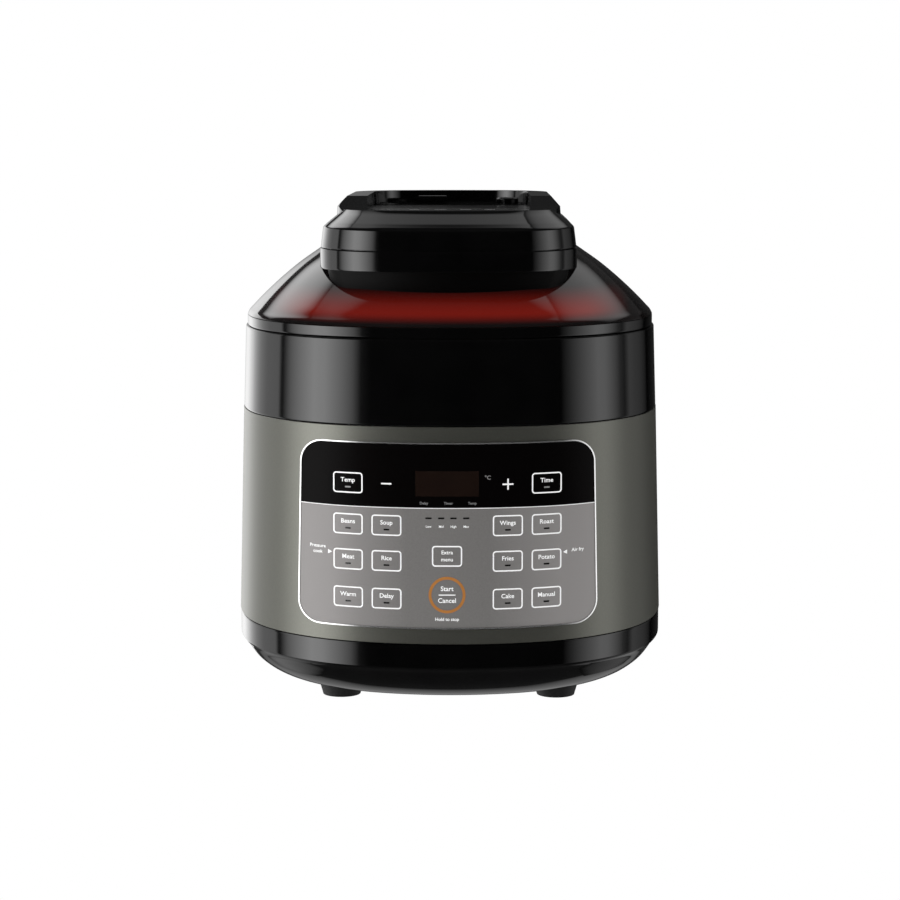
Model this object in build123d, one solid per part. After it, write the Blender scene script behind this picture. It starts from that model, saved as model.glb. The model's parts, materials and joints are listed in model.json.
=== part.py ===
"""Electric pressure cooker with an air-frying hinged lid.

The body stands on four feet at z = 0, +Z is up and the control panel faces -Y. Every piece is
modelled about the pot's vertical axis, and save() moves it back by BODY_Y, so that the origin is
the middle of the bottom of the whole object, hinge included. All sizes are in millimetres.
"""
from build123d import *
from math import asin, atan2, cos, degrees, radians, sin, sqrt
import os

os.makedirs("parts", exist_ok=True)

# ---- driving dimensions: outside of the body --------------------------------------------------
FACE_ARC = 1.4            # radius of each flat-looking side of the plan, in half-widths
DIAGONAL = 1.045          # reach of the plan across its corners, in half-widths
BASE_BOTTOM = 8.5         # underside of the bowl
BASE_TOP = 57.5
BASE_HALF = 167.2
BASE_CREASE = 38.0
WRAP_TOP = 218.8
WRAP_HALF_LOW = 167.6
WRAP_HALF_HIGH = 163.3
WRAP_WALL = 1.2
COLLAR_TOP = 282.6
COLLAR_HALF_LOW = 163.0
COLLAR_HALF_HIGH = 161.0
WALL = 3.0                # moulded plastic shells
SEAM = 0.3                # gap between the closed lid and the body
REAR_REACH = 182.0        # rearmost point of hinge and cup, from the pot's axis
FRONT_REACH = 168.2       # the panel trim's lower edge
BODY_Y = -(REAR_REACH - FRONT_REACH) / 2

# Height and half-width of the bowl, from its underside to the crease.
BOWL = ((BASE_BOTTOM, 118.0), (10.5, 129.5), (13.0, 138.0), (16.0, 144.7), (20.0, 150.9),
        (25.0, 156.7), (30.0, 160.6), (35.0, 163.8), (BASE_CREASE, BASE_HALF - 0.4))

# ---- driving dimensions: lid -----------------------------------------------------------------
LID_BOTTOM = COLLAR_TOP + SEAM
LID_RIM_TOP = 291.2
LID_HALF = 159.6
COVER_WALL = 3.0
# Height and half-width of the domed cover, from its rim to the edge of its top opening.
COVER = ((LID_RIM_TOP, LID_HALF), (294.2, 158.0), (297.2, 155.0), (303.2, 149.5), (311.2, 141.3),
         (321.2, 130.2), (331.2, 117.9), (341.2, 103.6), (346.0, 96.5))
COVER_HOLE = 88.0
HEAD_HALF_X = 97.3
HEAD_HALF_Y = 145.0
HEAD_ARC = 220.0          # radius of the head's gently curved front and back
HEAD_CORNER = 62.0
HEAD_BOTTOM = 330.4
TIER_SEAM = 345.9
TIER_STEP = 0.5
BAND_TOP = 362.0
LIP_INSET = 4.4           # rim of the lower tier that the cap locates on
LIP_TOP = 352.0
BAND_INSET = 2.4
DECK = 375.0              # flat top of the head
DECK_INSET = 18.5
# Height and inset of the neck under the head, from its foot inside the cover to the lower tier.
NECK = ((305.0, 24.0), (309.0, 19.0), (313.0, 15.0), (317.0, 11.5), (323.0, 8.5), (HEAD_BOTTOM, 6.5))
NECK_DEPTH_SHARE = 0.6    # the neck's inset at front and back, as a share of its inset at the sides
NECK_ARC = 150.0
NECK_CORNER = 26.0
HANDLE_TOP = 384.0
HANDLE_HALF_X = 85.5
HANDLE_WIDTH = 24.5
HANDLE_HALF_Y = 128.0
HANDLE_ARC = 208.0
HANDLE_CORNER = 58.0
HANDLE_BOTTOM = 366.0
RAMP_Y = -106.0           # the handle's front ends ramp up from here
RAMP_Z = 369.0
RAMP_SLOPE = 17.0
HANDLE_CHAMFER = 7.5
PANEL_DEPTH = 1.6
TOP_PANEL_HALF = 60.8
TOP_PANEL_FRONT = 124.5
TOP_PANEL_ARC = 200.0
TOP_PANEL_CORNER = 40.0
TOP_PANEL_BACK = 22.0
TOP_PANEL_GAP = 0.1

# ---- driving dimensions: cooking parts --------------------------------------------------------
POT_RADIUS = 110.5
POT_WALL = 1.6
POT_BOTTOM = 66.0
POT_TOP = 268.0
POT_RIM = 117.5
POT_FLOOR = 2.5           # the pot's thicker bottom
BASKET_RADIUS = 97.0
BASKET_FLOOR = 80.0
BASKET_TOP = 160.0
SHIELD_RADIUS = 120.5
SHIELD_BOTTOM = 42.0
SHIELD_TOP = 244.0
WELL_RADIUS = 133.0
LUGS = 8
LUG_ANGLE = 20.0
FLANGE_LUG_RADIUS = 123.5
FLANGE_WALL_RADIUS = 118.0
RING_INNER = 126.5
RING_OUTER = 129.5
RING_LUG_RADIUS = 120.6
LOCK_PIN_RADIUS = 88.0
LOCK_PIN_ANGLE = 100.0
LINER_TOP = 314.0
PLATE_TOP = POT_BOTTOM
PLATE_THICK = 14.0
FRAME_TOP = 348.0
FRAME_BOTTOM = 346.0
FRAME_POST_RADIUS = 80.0
FRAME_POSTS = (20, 150, 265)
SCREW_SHANK = 1.6
VALVE_X = 46.0
VALVE_Y = 64.0

# ---- driving dimensions: control panel --------------------------------------------------------
PANEL_HALF = 109.6
PANEL_LOW = 69.2
PANEL_HIGH = 207.1
PANEL_CORNER = 17.0
TRIM_WIDTH = 1.5
TRIM_PROUD = 0.9
FASCIA_PROUD = 0.4
BOARD_FACE = -141.6
BOARD_THICK = 1.6
BOARD_HALF = 86.0
BOARD_LOW = 80.0
BOARD_HIGH = 198.0
DISPLAY_SIZE = (50.3, 19.0)
DISPLAY_Z = 177.0
KEY_COLUMNS = (-73.4, -44.7, 44.7, 73.4)
KEY_ROWS = (91.2, 119.3, 145.7, 176.3)
START_KEY_Z = 94.7
EXTRA_KEY_Z = 123.5

# ---- driving dimensions: hinge, cup, inlet and feet ---------------------------------------------
HINGE_Y = 172.0
HINGE_Z = 268.0
HINGE_PIN = 3.0
HINGE_KNUCKLE = 8.0
HINGE_ARM_HALF = 24.0
CHEEK_INNER = 32.0
CHEEK_OUTER = 44.0
RUNNING_FIT = 0.08
CUP_HALF = 26.0
CUP_LOW = 196.0
CUP_HIGH = 240.0
CUP_BACK = 164.6
INLET_Z = 95.0
FOOT_X = 83.0
FOOT_Y = 78.0
FOOT_RADIUS = 17.0
FOOT_TIP = 14.5
FOOT_SCREW = 2.0
HATCH_RADIUS = 93.0       # opening in the base, closed by the bottom cover


# ---- shared shapes ---------------------------------------------------------------------------
def plan(half, z=0.0):
    """The body's plan at height z: four wide arcs joined by four tangent corner arcs."""
    side_radius = FACE_ARC * half
    side_shift = side_radius - half
    reach = side_radius - DIAGONAL * half
    corner = (reach**2 - side_shift**2) / (2 * side_shift - 2 * sqrt(2) * reach)
    corner_radius = DIAGONAL * half - sqrt(2) * corner
    spread = degrees(atan2(corner, corner + side_shift))
    edges = []
    for start in (0, 90, 180, 270):
        turn = radians(start)
        middle = (-side_shift * cos(turn), -side_shift * sin(turn))
        edges.append(CenterArc(middle, side_radius, start - spread, 2 * spread))
        turn = radians(start + 45)
        middle = (sqrt(2) * corner * cos(turn), sqrt(2) * corner * sin(turn))
        edges.append(CenterArc(middle, corner_radius, start + spread, 90 - 2 * spread))
    return Pos(0, 0, z) * make_face(edges)


def tower(sections):
    """A solid through plan() sections, each given as height and half-width."""
    return loft([plan(half, z) for z, half in sections], ruled=True)


def console(half_x, half_y, arc, corner, z):
    """A plan with straight sides and a gently curved front and back, joined by tangent corners."""
    turn = degrees(asin((half_x - corner) / (arc - corner)))
    shift = arc - half_y
    corner_x = half_x - corner
    corner_y = (arc - corner) * cos(radians(turn)) - shift
    edges = []
    for side in (-1, 1):
        edges.append(CenterArc((0, -side * shift), arc, side * 90 - turn, 2 * turn))
        edges.append(Line((side * half_x, -corner_y), (side * half_x, corner_y)))
        for other in (-1, 1):
            start = {(1, 1): 0, (-1, 1): 90 + turn, (-1, -1): 180, (1, -1): 270 + turn}[side, other]
            edges.append(CenterArc((side * corner_x, other * corner_y), corner, start, 90 - turn))
    return Pos(0, 0, z) * make_face(edges)


def head_plan(inset, z):
    return console(HEAD_HALF_X - inset, HEAD_HALF_Y - inset, HEAD_ARC - inset, HEAD_CORNER - inset, z)


def neck_plan(inset, z, inward=0.0):
    half_x = HEAD_HALF_X - inset - inward
    half_y = HEAD_HALF_Y - NECK_DEPTH_SHARE * inset - inward
    return console(half_x, half_y, NECK_ARC - inward, NECK_CORNER - inward, z)


def head_block(sections):
    return loft([head_plan(inset, z) for z, inset in sections], ruled=True)


def disc(radius, low, high, x=0.0, y=0.0):
    return Pos(x, y, low) * extrude(Circle(radius), high - low)


def tube(outer, inner, low, high, x=0.0, y=0.0):
    return Pos(x, y, low) * extrude(Circle(outer) - Circle(inner), high - low)


def block(x0, x1, y0, y1, z0, z1):
    middle = Pos((x0 + x1) / 2, (y0 + y1) / 2, (z0 + z1) / 2)
    return middle * Box(x1 - x0, y1 - y0, z1 - z0)


def rod_x(radius, x0, x1, y, z):
    return Pos((x0 + x1) / 2, y, z) * Rot(0, 90, 0) * Cylinder(radius, x1 - x0)


def turned(points):
    """A solid of revolution about the pot's axis, from a closed outline of radius and height."""
    outline = Polyline(*[(r, 0, z) for r, z in points], close=True)
    return revolve(make_face(outline), Axis.Z, 360)


def sector(outer, inner, low, high, angle, spread):
    """A piece of a ring, centred on the given angle."""
    wedge = make_face(Polyline((0, 0), *[
        (2 * outer * cos(radians(angle + side * spread / 2)),
         2 * outer * sin(radians(angle + side * spread / 2))) for side in (-1, 1)], close=True))
    return tube(outer, inner, low, high) & Pos(0, 0, low) * extrude(wedge, high - low)


def polar(radius, angle):
    return radius * cos(radians(angle)), radius * sin(radians(angle))


def merge(pieces):
    whole = pieces[0]
    for piece in pieces[1:]:
        whole = whole + piece
    return whole


def wrap_half(z):
    share = (z - BASE_TOP) / (WRAP_TOP - BASE_TOP)
    return WRAP_HALF_LOW + share * (WRAP_HALF_HIGH - WRAP_HALF_LOW)


def wrap_layer(outward, low=BASE_TOP, high=WRAP_TOP):
    """The solid inside the wrap's outer surface, moved outward by the given distance."""
    return tower(((low, wrap_half(low) + outward), (high, wrap_half(high) + outward)))


def front_window(inset, corner):
    """A bar through the front wall, with the panel's rounded outline moved in by inset."""
    width = 2 * (PANEL_HALF - inset)
    height = PANEL_HIGH - PANEL_LOW - 2 * inset
    outline = RectangleRounded(width, height, corner)
    bar = extrude(Plane.XZ * outline, 80)
    return Pos(0, -100, (PANEL_HIGH + PANEL_LOW) / 2) * bar


def cover_solid(inward=0.0):
    return tower([(z, half - inward) for z, half in COVER])


def save(name, shape):
    export_step(Pos(0, BODY_Y, 0) * shape, f"parts/{name}.step")


# ---- body ------------------------------------------------------------------------------------
FEET = {"front_left_foot": (-1, -1), "front_right_foot": (1, -1),
        "rear_left_foot": (-1, 1), "rear_right_foot": (1, 1)}


def base_shell():
    outer = tower(BOWL) + tower(((BASE_CREASE, BASE_HALF), (BASE_TOP, BASE_HALF)))
    inner = [(z + 5, half - WALL) for z, half in BOWL[:-1]] + [(BASE_TOP, BASE_HALF - WALL)]
    shell = outer - tower(inner)
    for x, y in FEET.values():
        shell += tube(FOOT_RADIUS + 0.5, FOOT_SCREW, BASE_BOTTOM, 16, x * FOOT_X, y * FOOT_Y)
        shell -= disc(FOOT_SCREW, BASE_BOTTOM, 16, x * FOOT_X, y * FOOT_Y)
    shell -= disc(HATCH_RADIUS - 7, 0, 20)
    return shell - disc(HATCH_RADIUS, 0, 11)


def bottom_cover():
    plate = disc(HATCH_RADIUS - SEAM, BASE_BOTTOM, 10.8)
    for row in range(-3, 4):
        for side in (-1, 1):
            plate -= block(side * 34 - 16, side * 34 + 16, row * 14 - 2.5, row * 14 + 2.5, 0, 20)
    return plate


def foot(side_x, side_y):
    x, y = side_x * FOOT_X, side_y * FOOT_Y
    body = Pos(x, y, BASE_BOTTOM / 2) * Cone(FOOT_TIP, FOOT_RADIUS, BASE_BOTTOM)
    return body - disc(5, 0, 3, x, y) - disc(FOOT_SCREW, 0, BASE_BOTTOM, x, y)


def foot_screws():
    return merge([disc(4.5, 1, 3, x * FOOT_X, y * FOOT_Y) + disc(FOOT_SCREW, 3, 15, x * FOOT_X, y * FOOT_Y)
                  for x, y in FEET.values()])


def outer_wrap():
    shell = wrap_layer(0) - wrap_layer(-WRAP_WALL)
    shell -= front_window(6, PANEL_CORNER - 6)
    return shell - block(-14, 14, 100, 200, INLET_Z - 10.5, INLET_Z + 10.5)


def collar_solid():
    return tower(((WRAP_TOP, COLLAR_HALF_LOW), (COLLAR_TOP, COLLAR_HALF_HIGH)))


def collar():
    hollow = tower(((WRAP_TOP, COLLAR_HALF_LOW - WALL), (COLLAR_TOP - WALL, COLLAR_HALF_HIGH - WALL)))
    well = tube(WELL_RADIUS + 2.5, WELL_RADIUS, SHIELD_TOP + 2, COLLAR_TOP)
    return (collar_solid() - hollow - disc(WELL_RADIUS, WRAP_TOP, COLLAR_TOP)) + well


def control_panel():
    """The chrome frame, the fascia inside it, and the parts behind them."""
    skin = wrap_layer(TRIM_PROUD) - wrap_layer(0)
    trim = skin & (front_window(0, PANEL_CORNER) - front_window(TRIM_WIDTH, PANEL_CORNER - TRIM_WIDTH))
    save("panel_trim", trim)
    skin = wrap_layer(FASCIA_PROUD) - wrap_layer(0)
    save("panel_fascia", skin & front_window(TRIM_WIDTH, PANEL_CORNER - TRIM_WIDTH))
    inside = wrap_layer(-WRAP_WALL, BASE_TOP + 5, WRAP_TOP - 5)
    window = wrap_layer(0)
    box = block(-BOARD_HALF - 5, BOARD_HALF + 5, -170, BOARD_FACE, BOARD_LOW - 5, BOARD_HIGH + 5)
    hole = block(-BOARD_HALF - 2, BOARD_HALF + 2, -170, BOARD_FACE, BOARD_LOW - 2, BOARD_HIGH + 2)
    save("board_carrier", (box - hole) & inside)
    back = BOARD_FACE + BOARD_THICK
    board = block(-BOARD_HALF - 4, BOARD_HALF + 4, BOARD_FACE, back, BOARD_LOW - 4, BOARD_HIGH + 4)
    save("control_board", board + block(-20, 20, back, back + 6, 100, 120))
    half, tall = DISPLAY_SIZE[0] / 2, DISPLAY_SIZE[1] / 2
    display = block(-half, half, -170, BOARD_FACE, DISPLAY_Z - tall, DISPLAY_Z + tall)
    save("display_module", display & window)
    pads = [touch_spring(x, z) for x in KEY_COLUMNS for z in KEY_ROWS]
    pads += [touch_spring(0, START_KEY_Z), touch_spring(0, EXTRA_KEY_Z)]
    save("touch_springs", merge([pad & window for pad in pads]))


def touch_spring(x, z):
    return Pos(x, (BOARD_FACE - 170) / 2, z) * Rot(90, 0, 0) * Cylinder(3, 170 + BOARD_FACE)


def power_inlet():
    face = WRAP_HALF_LOW + 0.9
    body = block(-13.8, 13.8, 141, face - 1, INLET_Z - 10.2, INLET_Z + 10.2)
    flange = block(-16, 16, wrap_half(INLET_Z - 14) + 0.05, face, INLET_Z - 13, INLET_Z + 13)
    socket = block(-12, 12, 148, face, INLET_Z - 8, INLET_Z + 8)
    shell = body + flange - socket
    for x, z in ((-7, -2), (0, 2), (7, -2)):
        shell += block(x - 1, x + 1, 147.5, 162, INLET_Z + z - 2, INLET_Z + z + 2)
    return shell


def heat_shield():
    return turned([(16, SHIELD_BOTTOM), (SHIELD_RADIUS, SHIELD_BOTTOM), (SHIELD_RADIUS, SHIELD_TOP),
                   (WELL_RADIUS + 2, SHIELD_TOP), (WELL_RADIUS + 2, SHIELD_TOP + 1.5),
                   (SHIELD_RADIUS - 1.2, SHIELD_TOP + 1.5), (SHIELD_RADIUS - 1.2, SHIELD_BOTTOM + 1.2),
                   (16, SHIELD_BOTTOM + 1.2)])


def lock_flange():
    foot_z = SHIELD_TOP + 1.5
    wall = FLANGE_WALL_RADIUS
    ring = turned([(wall - 1.8, foot_z), (WELL_RADIUS - 1, foot_z), (WELL_RADIUS - 1, foot_z + 1.8),
                   (wall, foot_z + 1.8), (wall, POT_TOP), (POT_RADIUS + 2, POT_TOP),
                   (POT_RADIUS + 2, POT_TOP - 1.8), (wall - 1.8, POT_TOP - 1.8)])
    for k in range(LUGS):
        angle = k * 360 / LUGS
        ring += sector(FLANGE_LUG_RADIUS, wall - 1, POT_TOP - 6, POT_TOP, angle, LUG_ANGLE)
    return ring


def heater_plate():
    low = PLATE_TOP - PLATE_THICK
    plate = turned([(14, low), (80, low), (88, low + 5), (88, PLATE_TOP), (14, PLATE_TOP)])
    for angle in (30, 150, 270):
        x, y = polar(74, angle)
        plate += disc(4, SHIELD_BOTTOM + 1.2, low, x, y)
    return plate


def heater_element():
    low = PLATE_TOP - PLATE_THICK
    ring = Pos(0, 0, low - 3.5) * Torus(56, 3.5)
    return ring - block(-6, 6, -70, -40, 30, 60)


def sensor():
    stem_top = POT_BOTTOM - 3.3
    cap = disc(11, stem_top, POT_BOTTOM - 0.3) + disc(4, 36, stem_top)
    save("temperature_sensor", cap)
    coil = Helix(pitch=2.6, height=15.6, radius=7)
    wire = sweep((coil ^ 0) * Circle(0.6), coil, is_frenet=True)
    save("sensor_spring", Pos(0, 0, 45.6) * wire)
    bracket = tube(13, 4.4, SHIELD_BOTTOM - 2, SHIELD_BOTTOM) + block(13, 30, -5, 5, 40, 42)
    save("sensor_bracket", bracket + tube(10, 4.4, SHIELD_BOTTOM, 44.6))


def inner_pot():
    inner = POT_RADIUS - POT_WALL
    floor = POT_BOTTOM + POT_FLOOR
    return turned([(0, POT_BOTTOM), (POT_RADIUS - 14, POT_BOTTOM), (POT_RADIUS - 4, POT_BOTTOM + 4),
                   (POT_RADIUS, POT_BOTTOM + 14), (POT_RADIUS, POT_TOP), (POT_RIM, POT_TOP),
                   (POT_RIM, POT_TOP + POT_WALL), (inner, POT_TOP + POT_WALL), (inner, POT_BOTTOM + 15),
                   (inner - 4, POT_BOTTOM + 6), (inner - 13, floor), (0, floor)])


def crisper_basket():
    radius = BASKET_RADIUS
    shell = tube(radius, radius - POT_WALL, BASKET_FLOOR + 2, BASKET_TOP)
    shell += disc(radius, BASKET_FLOOR, BASKET_FLOOR + 2)
    for angle in (45, 135, 225, 315):
        x, y = polar(70, angle)
        shell += disc(5, POT_BOTTOM + POT_FLOOR, BASKET_FLOOR, x, y)
    for ring, count in ((20, 6), (42, 12), (64, 18), (84, 24)):
        for k in range(count):
            x, y = polar(ring, k * 360 / count + 7.5)
            shell -= disc(4, BASKET_FLOOR - 0.5, BASKET_FLOOR + 3, x, y)
    return shell


def power_board():
    board = block(-62, 62, -30, 42, 21, 22.6)
    board += block(-52, -20, -20, 10, 22.6, 38)
    board += block(8, 26, -18, 10, 22.6, 36)
    return board + disc(8, 22.6, 38, 42, 20) + disc(6, 22.6, 35, -30, 28)


def board_standoffs():
    return merge([disc(3, 10.8, 21, x, y) for x in (-56, 56) for y in (-24, 36)])


# ---- hinge and condensation cup -------------------------------------------------------------
def hinge_bracket():
    bracket = block(-CHEEK_OUTER, CHEEK_OUTER, 150, 176, 251, 256)
    for side in (-1, 1):
        x0, x1 = sorted((side * CHEEK_INNER, side * CHEEK_OUTER))
        bracket += block(x0, x1, 150, HINGE_Y, 251, 278)
        bracket += block(x0, x1, 150, 180, 251, HINGE_Z)
        bracket += rod_x(10, x0, x1, HINGE_Y, HINGE_Z)
    return bracket - collar_solid() - rod_x(HINGE_PIN, -60, 60, HINGE_Y, HINGE_Z)


def hinge_pin():
    pin = rod_x(HINGE_PIN, -CHEEK_OUTER, CHEEK_OUTER, HINGE_Y, HINGE_Z)
    for side in (-1, 1):
        x0, x1 = sorted((side * CHEEK_OUTER, side * (CHEEK_OUTER + 2)))
        pin += rod_x(5, x0, x1, HINGE_Y, HINGE_Z)
    return pin


def hinge_springs():
    coil = Helix(pitch=1.7, height=5.1, radius=5.2)
    wire = sweep((coil ^ 0) * Circle(0.6), coil, is_frenet=True)
    return merge([Pos(x, HINGE_Y, HINGE_Z) * Rot(0, 90, 0) * wire for x in (-30.6, 25.5)])


def hinge_arm():
    half = HINGE_ARM_HALF
    arm = rod_x(HINGE_KNUCKLE, -half, half, HINGE_Y, HINGE_Z)
    arm += block(-half, half, HINGE_Y - 7, HINGE_Y + 7.5, HINGE_Z, LID_RIM_TOP - 0.5)
    arm += block(-half, half, 145, HINGE_Y, LID_BOTTOM + 1, LID_RIM_TOP - 0.5)
    rim = tower(((LID_BOTTOM - 5, LID_HALF), (LID_RIM_TOP, LID_HALF)))
    return arm - rim - rod_x(HINGE_PIN + RUNNING_FIT, -60, 60, HINGE_Y, HINGE_Z)


def condensation_cup():
    back = CUP_BACK + 1.2
    outer = block(-CUP_HALF, CUP_HALF, back, REAR_REACH, CUP_LOW, CUP_HIGH)
    outer = fillet(outer.edges().filter_by(Axis.Z).group_by(Axis.Y)[-1], 6)
    inner = block(-CUP_HALF + 2, CUP_HALF - 2, back + 2, REAR_REACH - 2, CUP_LOW + 2, CUP_HIGH + 1)
    return outer - inner


def cup_rails():
    rails = []
    for side in (-1, 1):
        x0, x1 = sorted((side * (CUP_HALF + 0.4), side * (CUP_HALF + 3)))
        rails.append(block(x0, x1, 150, 172, CUP_LOW + 3, CUP_HIGH - 6))
    return merge(rails) - collar_solid() - wrap_layer(0)


# ---- lid -------------------------------------------------------------------------------------
def lid_rim():
    outer = tower(((LID_BOTTOM, LID_HALF), (LID_RIM_TOP, LID_HALF)))
    hollow = tower(((LID_BOTTOM + 2.5, LID_HALF - WALL), (LID_RIM_TOP, LID_HALF - WALL)))
    return outer - hollow - disc(RING_OUTER + 1.5, LID_BOTTOM, LID_RIM_TOP)


def lid_cover():
    shell = cover_solid() - cover_solid(COVER_WALL)
    return shell - disc(COVER_HOLE, 300, 360)


def lid_liner():
    dome = turned([(106, 279), (118.5, 279), (118.5, 280.5), (107.6, 280.5), (104, 300), (92, LINER_TOP),
                   (0, LINER_TOP), (0, LINER_TOP - 1.5), (91.3, LINER_TOP - 1.5), (102.5, 299.4)])
    for x in (-VALVE_X, VALVE_X):
        dome -= disc(3.6, LINER_TOP - 5, LINER_TOP + 5, x, VALVE_Y)
    return dome - disc(3.4, LINER_TOP - 5, LINER_TOP + 5)


def sealing_gasket():
    low = POT_TOP + POT_WALL + 0.3
    return turned([(108, low), (117.3, low), (117.3, 278.9), (108.5, 278.9), (108.5, 276.5), (114, 276.5),
                   (114, low + 2.4), (108, low + 2.4)])


def lid_heater():
    """Three rings joined by a cross bar, hung from the liner on two posts."""
    section = merge([Pos(radius, 0, 286) * Rot(90, 0, 0) * Circle(3.3) for radius in (42, 58, 74)])
    rings = revolve(section, Axis.Z, 360)
    bars = [block(x0, x1, -3, 3, 284, 288) for x0, x1 in ((-76, -40), (40, 76))]
    posts = [disc(2.5, 287, LINER_TOP - 1.5, x, 0) for x in (-66, 66)]
    return merge([rings] + bars + posts)


def heater_guard():
    plate = disc(100, 278, 279.2)
    for k in range(16):
        for radius in (24, 40, 56, 72, 88):
            x, y = polar(radius, k * 22.5 + radius)
            plate -= disc(min(6, radius / 8 + 1), 277, 281, x, y)
    for angle in (45, 135, 225, 315):
        x, y = polar(94, angle)
        plate += disc(2.5, 279.2, 305.5, x, y)
    return plate


def fan():
    blades = disc(58, 306, 307.2) + disc(9, 298, 306)
    for k in range(12):
        blade = block(14, 56, -0.6, 0.6, 296, 306)
        blades += Rot(0, 0, k * 30) * blade
    save("fan_impeller", blades - disc(2.6, 290, 312))
    save("fan_shaft", disc(2.6, 297, 340))
    motor = disc(31, 324, FRAME_BOTTOM) - disc(3.2, 320, 341)
    save("fan_motor", motor + disc(12, FRAME_BOTTOM, 356))


def lock_parts():
    ring = tube(RING_OUTER, RING_INNER, 254, 288)
    for k in range(LUGS):
        angle = (k + 0.5) * 360 / LUGS
        ring += sector(RING_OUTER - 1, RING_LUG_RADIUS, 254, 259, angle, LUG_ANGLE)
    save("lock_ring", ring)
    hub = tube(46, 38, 318, 321)
    cone = turned([(RING_OUTER - 2.8, 288), (RING_OUTER, 288), (RING_OUTER, 290.5), (101, 321), (44, 321),
                   (44, 318), (100, 318), (RING_OUTER - 2.8, 290)])
    for angle in (LOCK_PIN_ANGLE, LOCK_PIN_ANGLE + 120, LOCK_PIN_ANGLE + 240):
        hub += cone & sector(140, 40, 280, 325, angle, 14)
    x, y = polar(LOCK_PIN_RADIUS, LOCK_PIN_ANGLE)
    save("lock_spider", hub + disc(3.5, 320, 371, x, y))
    pad = block(x - 12, x + 12, y - 5.5, y + 5.5, DECK + 0.4, DECK + 5.5)
    pad = fillet(pad.edges().group_by(Axis.Z)[-1], 1.5)
    pad += block(x - 9, x + 9, y - 4.9, y + 4.9, 366, DECK + 0.4)
    save("lock_slider", pad - block(x - 4.2, x + 4.2, y - 6, y + 6, 360, 372.5))


def lid_frame():
    plate = disc(89.5, FRAME_BOTTOM, FRAME_TOP) - disc(12.5, 340, 350)
    plate -= block(-32, 40, 79, 100, 340, 350)
    for angle in FRAME_POSTS:
        x, y = polar(FRAME_POST_RADIUS, angle)
        plate += disc(5, LINER_TOP, FRAME_BOTTOM, x, y)
        plate -= disc(SCREW_SHANK, FRAME_TOP - 18, FRAME_TOP, x, y)
    for x in (-VALVE_X, VALVE_X):
        plate -= disc(11, 340, 350, x, VALVE_Y)
    return plate


def frame_screws():
    """Pan-head screws: a head on the frame and a shank down into its post."""
    screws = []
    for angle in FRAME_POSTS:
        x, y = polar(FRAME_POST_RADIUS, angle)
        screws += [disc(3.4, FRAME_TOP, FRAME_TOP + 2.2, x, y), disc(SCREW_SHANK, FRAME_TOP - 14, FRAME_TOP, x, y)]
    return merge(screws)


def glow_ring():
    ring = Pos(0, 0, 297.5) * Torus(139, 3.2)
    sides = [Rot(0, 0, turn) * block(-200, 200, 0, 200, 280, 320) for turn in (-22, 22)]
    return ring - sides[0] - sides[1]


# ---- head ------------------------------------------------------------------------------------
def head_base():
    neck = loft([neck_plan(inset, z) for z, inset in NECK], ruled=True)
    inner = loft([neck_plan(inset, z, WALL) for z, inset in NECK], ruled=True)
    tier = head_block(((HEAD_BOTTOM, 0.0), (TIER_SEAM, 0.0)))
    lip = head_block(((TIER_SEAM, LIP_INSET), (LIP_TOP, LIP_INSET)))
    tier_bore = head_block(((HEAD_BOTTOM + WALL, LIP_INSET + 2.5), (LIP_TOP + 1, LIP_INSET + 2.5)))
    floor_bore = loft([neck_plan(NECK[-1][1], z, WALL) for z in (HEAD_BOTTOM - 0.5, HEAD_BOTTOM + WALL)])
    hollow = inner + tier_bore + floor_bore
    return (neck + tier + lip) - hollow - cover_solid() - disc(COVER_HOLE + 3, 300, 347)


def head_cap():
    low = TIER_STEP
    band = head_block(((TIER_SEAM, low), (BAND_TOP, BAND_INSET)))
    crown = head_block(((BAND_TOP, BAND_INSET), (DECK, DECK_INSET)))
    hollow = head_block(((TIER_SEAM, low + WALL - 0.3), (BAND_TOP - 2, BAND_INSET + WALL)))
    hollow += head_block(((BAND_TOP - 2, BAND_INSET + WALL), (DECK - 3, DECK_INSET + WALL)))
    shell = band + crown - hollow - cover_solid() - top_panel_block(0)
    x, y = polar(LOCK_PIN_RADIUS, LOCK_PIN_ANGLE)
    shell -= block(x - 10, x + 50, y - 5.4, y + 5.4, 365, 380)
    for side in (-1, 1):
        shell -= disc(9.4 if side > 0 else 3.2, 365, 380, side * VALVE_X, VALVE_Y)
    for row in range(4):
        shell -= block(-40, 40, 130, 150, 346 + row * 4, 348 + row * 4)
    return shell


def top_panel_block(inset, high=DECK + 5):
    """The top panel's outline, moved in by inset, from its recess up to the given height."""
    low = DECK - PANEL_DEPTH
    outline = console(TOP_PANEL_HALF - inset, TOP_PANEL_FRONT - inset, TOP_PANEL_ARC - inset,
                      TOP_PANEL_CORNER - inset, low)
    front = block(-TOP_PANEL_HALF, TOP_PANEL_HALF, -TOP_PANEL_FRONT, TOP_PANEL_BACK - inset, low, high)
    return extrude(outline, high - low) & front


def handle_plan(outer, z):
    """The handle's plan at height z, which follows the head's own plan."""
    inset = HANDLE_HALF_X - outer
    return console(outer, HANDLE_HALF_Y - inset, HANDLE_ARC - inset, HANDLE_CORNER - inset, z)


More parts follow.
